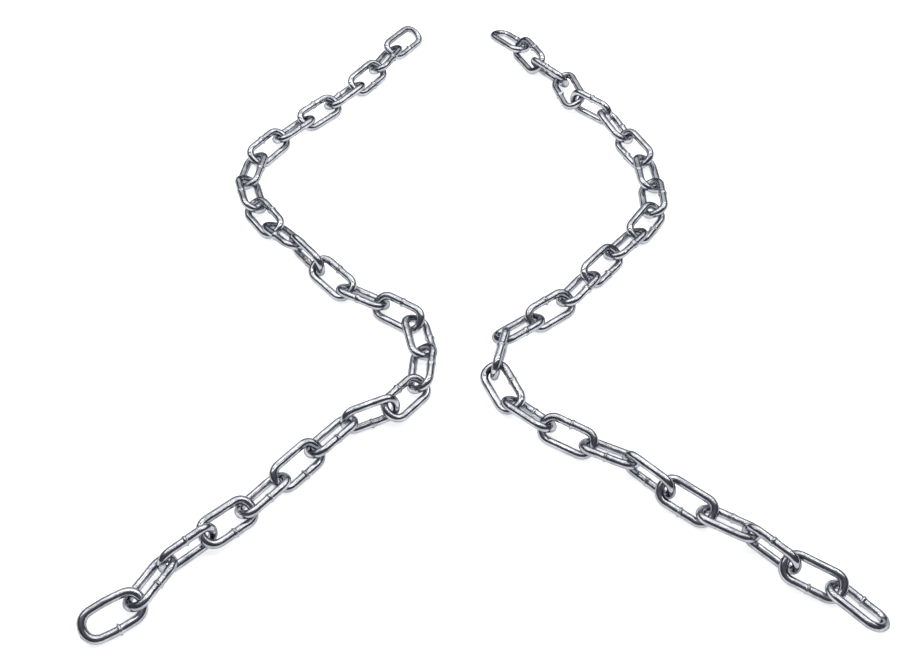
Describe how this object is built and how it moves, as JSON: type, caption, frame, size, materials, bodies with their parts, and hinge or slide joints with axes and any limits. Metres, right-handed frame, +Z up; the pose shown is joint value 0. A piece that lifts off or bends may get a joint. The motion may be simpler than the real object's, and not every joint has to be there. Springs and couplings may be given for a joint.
{
  "type": "tire snow chains",
  "caption": "Loose lengths of bright zinc-plated welded link chain for tire snow chains, laid in facing zigzags; each link turns in the eye of the next",
  "frame": {"origin": "on the surface that the chains lie on, in the middle of the box around both chains", "axes": "+Z up, +Y towards the far ends of the chains, +X from the left chain to the right chain"},
  "size_m": [0.4892, 0.6223, 0.0233],
  "materials": {
    "zinc_plated_steel": "bright zinc plating over drawn steel wire"
  },
  "bodies": {
    "left_link_01": {"left_link_01": "zinc_plated_steel"},
    "left_link_02": {"left_link_02": "zinc_plated_steel"},
    "left_link_03": {"left_link_03": "zinc_plated_steel"},
    "left_link_04": {"left_link_04": "zinc_plated_steel"},
    "left_link_05": {"left_link_05": "zinc_plated_steel"},
    "left_link_06": {"left_link_06": "zinc_plated_steel"},
    "left_link_07": {"left_link_07": "zinc_plated_steel"},
    "left_link_08": {"left_link_08": "zinc_plated_steel"},
    "left_link_09": {"left_link_09": "zinc_plated_steel"},
    "left_link_10": {"left_link_10": "zinc_plated_steel"},
    "left_link_11": {"left_link_11": "zinc_plated_steel"},
    "left_link_12": {"left_link_12": "zinc_plated_steel"},
    "left_link_13": {"left_link_13": "zinc_plated_steel"},
    "left_link_14": {"left_link_14": "zinc_plated_steel"},
    "left_link_15": {"left_link_15": "zinc_plated_steel"},
    "left_link_16": {"left_link_16": "zinc_plated_steel"},
    "left_link_17": {"left_link_17": "zinc_plated_steel"},
    "left_link_18": {"left_link_18": "zinc_plated_steel"},
    "left_link_19": {"left_link_19": "zinc_plated_steel"},
    "left_link_20": {"left_link_20": "zinc_plated_steel"},
    "left_link_21": {"left_link_21": "zinc_plated_steel"},
    "left_link_22": {"left_link_22": "zinc_plated_steel"},
    "left_link_23": {"left_link_23": "zinc_plated_steel"},
    "left_link_24": {"left_link_24": "zinc_plated_steel"},
    "left_link_25": {"left_link_25": "zinc_plated_steel"},
    "left_link_26": {"left_link_26": "zinc_plated_steel"},
    "right_link_01": {"right_link_01": "zinc_plated_steel"},
    "right_link_02": {"right_link_02": "zinc_plated_steel"},
    "right_link_03": {"right_link_03": "zinc_plated_steel"},
    "right_link_04": {"right_link_04": "zinc_plated_steel"},
    "right_link_05": {"right_link_05": "zinc_plated_steel"},
    "right_link_06": {"right_link_06": "zinc_plated_steel"},
    "right_link_07": {"right_link_07": "zinc_plated_steel"},
    "right_link_08": {"right_link_08": "zinc_plated_steel"},
    "right_link_09": {"right_link_09": "zinc_plated_steel"},
    "right_link_10": {"right_link_10": "zinc_plated_steel"},
    "right_link_11": {"right_link_11": "zinc_plated_steel"},
    "right_link_12": {"right_link_12": "zinc_plated_steel"},
    "right_link_13": {"right_link_13": "zinc_plated_steel"},
    "right_link_14": {"right_link_14": "zinc_plated_steel"},
    "right_link_15": {"right_link_15": "zinc_plated_steel"},
    "right_link_16": {"right_link_16": "zinc_plated_steel"},
    "right_link_17": {"right_link_17": "zinc_plated_steel"},
    "right_link_18": {"right_link_18": "zinc_plated_steel"},
    "right_link_19": {"right_link_19": "zinc_plated_steel"},
    "right_link_20": {"right_link_20": "zinc_plated_steel"},
    "right_link_21": {"right_link_21": "zinc_plated_steel"},
    "right_link_22": {"right_link_22": "zinc_plated_steel"},
    "right_link_23": {"right_link_23": "zinc_plated_steel"},
    "right_link_24": {"right_link_24": "zinc_plated_steel"},
    "right_link_25": {"right_link_25": "zinc_plated_steel"},
    "right_link_26": {"right_link_26": "zinc_plated_steel"}
  },
  "joints": [
    {"name": "right_chain_slide", "type": "slide", "parent": "left_link_15", "child": "right_link_15", "axis": [1, 0, 0], "range_m": [0, 0.3]},
    {"name": "left_hook_15_16", "type": "hinge", "parent": "left_link_15", "child": "left_link_16", "pos_m": [-0.04242, -0.04882, 0.00676], "axis": [0.8947, 0.1848, -0.4067], "range_deg": [-10, 10]},
    {"name": "left_hook_16_17", "type": "hinge", "parent": "left_link_16", "child": "left_link_17", "pos_m": [-0.0349, -0.07865, 0.008], "axis": [0.805, -0.081, 0.5878], "range_deg": [-5, 15]},
    {"name": "left_hook_17_18", "type": "hinge", "parent": "left_link_17", "child": "left_link_18", "pos_m": [-0.03887, -0.11644, 0.00823], "axis": [0.805, -0.081, 0.5878], "range_deg": [-10, 25]},
    {"name": "left_hook_18_19", "type": "hinge", "parent": "left_link_18", "child": "left_link_19", "pos_m": [-0.05988, -0.13906, 0.01011], "axis": [0.6739, -0.596, -0.4366], "range_deg": [-5, 20]},
    {"name": "left_hook_19_20", "type": "hinge", "parent": "left_link_19", "child": "left_link_20", "pos_m": [-0.0895, -0.14809, 0.01161], "axis": [0.0846, -0.1899, -0.9781], "range_deg": [-60, 45]},
    {"name": "left_hook_20_21", "type": "hinge", "parent": "left_link_20", "child": "left_link_21", "pos_m": [-0.10679, -0.16539, 0.00853], "axis": [0.5856, -0.5273, -0.6157], "range_deg": [-45, 15]},
    {"name": "left_hook_21_22", "type": "hinge", "parent": "left_link_21", "child": "left_link_22", "pos_m": [-0.12772, -0.18873, 0.00853], "axis": [0.6245, -0.6001, 0.4998], "range_deg": [-30, 20]},
    {"name": "left_hook_22_23", "type": "hinge", "parent": "left_link_22", "child": "left_link_23", "pos_m": [-0.14766, -0.21053, 0.00755], "axis": [0.5527, -0.6688, -0.4973], "range_deg": [-5, 25]},
    {"name": "left_hook_23_24", "type": "hinge", "parent": "left_link_23", "child": "left_link_24", "pos_m": [-0.16969, -0.23126, 0.0115], "axis": [0.0229, -0.0263, -0.9994], "range_deg": [-5, 10]},
    {"name": "left_hook_24_25", "type": "hinge", "parent": "left_link_24", "child": "left_link_25", "pos_m": [-0.19837, -0.25619, 0.0115], "axis": [0.0229, -0.0263, -0.9994], "range_deg": [-15, 15]},
    {"name": "left_hook_25_26", "type": "hinge", "parent": "left_link_25", "child": "left_link_26", "pos_m": [-0.21422, -0.28277, 0.0093], "axis": [0.7326, -0.4623, 0.4996], "range_deg": [0, 60]},
    {"name": "left_hook_14_15", "type": "hinge", "parent": "left_link_15", "child": "left_link_14", "pos_m": [-0.06932, -0.0334, 0.00823], "axis": [0.4517, 0.6457, 0.6157], "range_deg": [-25, 40]},
    {"name": "left_hook_13_14", "type": "hinge", "parent": "left_link_14", "child": "left_link_13", "pos_m": [-0.09631, -0.01745, 0.008], "axis": [0.4396, 0.7252, -0.5299], "range_deg": [-10, 20]},
    {"name": "left_hook_12_13", "type": "hinge", "parent": "left_link_13", "child": "left_link_12", "pos_m": [-0.11661, 0.00499, 0.01179], "axis": [0.6645, 0.5586, 0.4964], "range_deg": [-10, 15]},
    {"name": "left_hook_11_12", "type": "hinge", "parent": "left_link_12", "child": "left_link_11", "pos_m": [-0.13538, 0.02961, 0.01179], "axis": [0.0275, 0.0215, -0.9994], "range_deg": [-10, 5]},
    {"name": "left_hook_10_11", "type": "hinge", "parent": "left_link_11", "child": "left_link_10", "pos_m": [-0.1498, 0.0459, 0.00725], "axis": [0.7303, 0.4963, 0.4695], "range_deg": [-5, 15]},
    {"name": "left_hook_09_10", "type": "hinge", "parent": "left_link_10", "child": "left_link_09", "pos_m": [-0.17105, 0.0774, 0.007], "axis": [0.7303, 0.4963, 0.4695], "range_deg": [-10, 15]},
    {"name": "left_hook_08_09", "type": "hinge", "parent": "left_link_09", "child": "left_link_08", "pos_m": [-0.17846, 0.10736, 0.00775], "axis": [0.7969, 0.2285, -0.5592], "range_deg": [-10, 10]},
    {"name": "left_hook_07_08", "type": "hinge", "parent": "left_link_08", "child": "left_link_07", "pos_m": [-0.17145, 0.13694, 0.00673], "axis": [0.8857, -0.1529, 0.4384], "range_deg": [-5, 35]},
    {"name": "left_hook_06_07", "type": "hinge", "parent": "left_link_07", "child": "left_link_06", "pos_m": [-0.15191, 0.1611, 0.008], "axis": [0.6524, -0.4784, -0.5878], "range_deg": [-15, 25]},
    {"name": "left_hook_05_06", "type": "hinge", "parent": "left_link_06", "child": "left_link_05", "pos_m": [-0.13125, 0.18441, 0.00725], "axis": [0.66, -0.5608, 0.4999], "range_deg": [-15, 5]},
    {"name": "left_hook_04_05", "type": "hinge", "parent": "left_link_05", "child": "left_link_04", "pos_m": [-0.10959, 0.20569, 0.00755], "axis": [0.6152, -0.6096, -0.5], "range_deg": [-10, 10]},
    {"name": "left_hook_03_04", "type": "hinge", "parent": "left_link_04", "child": "left_link_03", "pos_m": [-0.09414, 0.22339, 0.0083], "axis": [0.6545, -0.4755, -0.5878], "range_deg": [-30, 15]},
    {"name": "left_hook_02_03", "type": "hinge", "parent": "left_link_03", "child": "left_link_02", "pos_m": [-0.0718, 0.25413, 0.0083], "axis": [0.6545, -0.4755, -0.5878], "range_deg": [-15, 25]},
    {"name": "left_hook_01_02", "type": "hinge", "parent": "left_link_02", "child": "left_link_01", "pos_m": [-0.05914, 0.28281, 0.00725], "axis": [0.7949, -0.3446, 0.4994], "range_deg": [-5, 10]},
    {"name": "right_hook_15_16", "type": "hinge", "parent": "right_link_15", "child": "right_link_16", "pos_m": [0.0186, -0.07431, 0.00998], "axis": [0.5592, -0.704, 0.4378], "range_deg": [-10, 60]},
    {"name": "right_hook_16_17", "type": "hinge", "parent": "right_link_16", "child": "right_link_17", "pos_m": [0.01426, -0.10645, 0.01148], "axis": [0.0674, -0.0181, 0.9976], "range_deg": [-15, 20]},
    {"name": "right_hook_17_18", "type": "hinge", "parent": "right_link_17", "child": "right_link_18", "pos_m": [0.02237, -0.12805, 0.0083], "axis": [0.5621, 0.582, -0.5876], "range_deg": [-10, 10]},
    {"name": "right_hook_18_19", "type": "hinge", "parent": "right_link_18", "child": "right_link_19", "pos_m": [0.04511, -0.1501, 0.00846], "axis": [0.4059, 0.6496, 0.6428], "range_deg": [-60, 55]},
    {"name": "right_hook_19_20", "type": "hinge", "parent": "right_link_19", "child": "right_link_20", "pos_m": [0.07734, -0.17023, 0.00846], "axis": [0.4059, 0.6496, 0.6428], "range_deg": [-45, 25]},
    {"name": "right_hook_20_21", "type": "hinge", "parent": "right_link_20", "child": "right_link_21", "pos_m": [0.09807, -0.18202, 0.01179], "axis": [0.0251, 0.0242, -0.9994], "range_deg": [-10, 10]},
    {"name": "right_hook_21_22", "type": "hinge", "parent": "right_link_21", "child": "right_link_22", "pos_m": [0.12447, -0.20935, 0.01179], "axis": [0.0251, 0.0242, -0.9994], "range_deg": [-10, 5]},
    {"name": "right_hook_22_23", "type": "hinge", "parent": "right_link_22", "child": "right_link_23", "pos_m": [0.14879, -0.22691, 0.00805], "axis": [0.5429, 0.629, 0.5565], "range_deg": [-5, 20]},
    {"name": "right_hook_23_24", "type": "hinge", "parent": "right_link_23", "child": "right_link_24", "pos_m": [0.1677, -0.23972, 0.0115], "axis": [0.0251, 0.0242, -0.9994], "range_deg": [-10, 15]},
    {"name": "right_hook_24_25", "type": "hinge", "parent": "right_link_24", "child": "right_link_25", "pos_m": [0.1941, -0.26705, 0.0115], "axis": [0.0251, 0.0242, -0.9994], "range_deg": [-10, 15]},
    {"name": "right_hook_25_26", "type": "hinge", "parent": "right_link_25", "child": "right_link_26", "pos_m": [0.21427, -0.2778, 0.00729], "axis": [0.6664, 0.5793, -0.4695], "range_deg": [-20, 5]},
    {"name": "right_hook_14_15", "type": "hinge", "parent": "right_link_15", "child": "right_link_14", "pos_m": [0.04891, -0.05147, 0.008], "axis": [0.5592, -0.704, 0.4378], "range_deg": [-20, 5]},
    {"name": "right_hook_13_14", "type": "hinge", "parent": "right_link_14", "child": "right_link_13", "pos_m": [0.07374, -0.03351, 0.008], "axis": [0.4755, -0.6545, -0.5878], "range_deg": [-15, 25]},
    {"name": "right_hook_12_13", "type": "hinge", "parent": "right_link_13", "child": "right_link_12", "pos_m": [0.09276, -0.00862, 0.0083], "axis": [0.6768, -0.5404, 0.5], "range_deg": [-25, 15]},
    {"name": "right_hook_11_12", "type": "hinge", "parent": "right_link_12", "child": "right_link_11", "pos_m": [0.11329, 0.01481, 0.0083], "axis": [0.6106, -0.5308, -0.5878], "range_deg": [-15, 15]},
    {"name": "right_hook_10_11", "type": "hinge", "parent": "right_link_11", "child": "right_link_10", "pos_m": [0.1343, 0.03806, 0.00755], "axis": [0.6502, -0.5722, 0.4999], "range_deg": [-5, 15]},
    {"name": "right_hook_09_10", "type": "hinge", "parent": "right_link_10", "child": "right_link_09", "pos_m": [0.15134, 0.0632, 0.00755], "axis": [0.7094, -0.4967, -0.5], "range_deg": [-10, 20]},
    {"name": "right_hook_08_09", "type": "hinge", "parent": "right_link_09", "child": "right_link_08", "pos_m": [0.14992, 0.08702, 0.0075], "axis": [0.8819, 0.0432, -0.4695], "range_deg": [-10, 10]},
    {"name": "right_hook_07_08", "type": "hinge", "parent": "right_link_08", "child": "right_link_07", "pos_m": [0.14793, 0.12496, 0.00726], "axis": [0.8819, 0.0432, -0.4695], "range_deg": [-5, 60]},
    {"name": "right_hook_06_07", "type": "hinge", "parent": "right_link_07", "child": "right_link_06", "pos_m": [0.13348, 0.15295, 0.00876], "axis": [0.6943, 0.3237, 0.6428], "range_deg": [-25, 35]},
    {"name": "right_hook_05_06", "type": "hinge", "parent": "right_link_06", "child": "right_link_05", "pos_m": [0.12127, 0.18199, 0.01074], "axis": [0.787, 0.3624, -0.4993], "range_deg": [-25, 10]},
    {"name": "right_hook_04_05", "type": "hinge", "parent": "right_link_05", "child": "right_link_04", "pos_m": [0.09659, 0.20172, 0.0115], "axis": [0.0238, 0.0255, 0.9994], "range_deg": [-10, 10]},
    {"name": "right_hook_03_04", "type": "hinge", "parent": "right_link_04", "child": "right_link_03", "pos_m": [0.088, 0.23135, 0.01111], "axis": [0.8525, 0.2301, 0.4693], "range_deg": [-60, 60]},
    {"name": "right_hook_02_03", "type": "hinge", "parent": "right_link_03", "child": "right_link_02", "pos_m": [0.06624, 0.25418, 0.01036], "axis": [0.3774, 0.328, -0.866], "range_deg": [-25, 35]},
    {"name": "right_hook_01_02", "type": "hinge", "parent": "right_link_02", "child": "right_link_01", "pos_m": [0.05381, 0.28304, 0.00951], "axis": [0.5753, 0.2872, 0.7659], "range_deg": [-60, 5]}
  ]
}
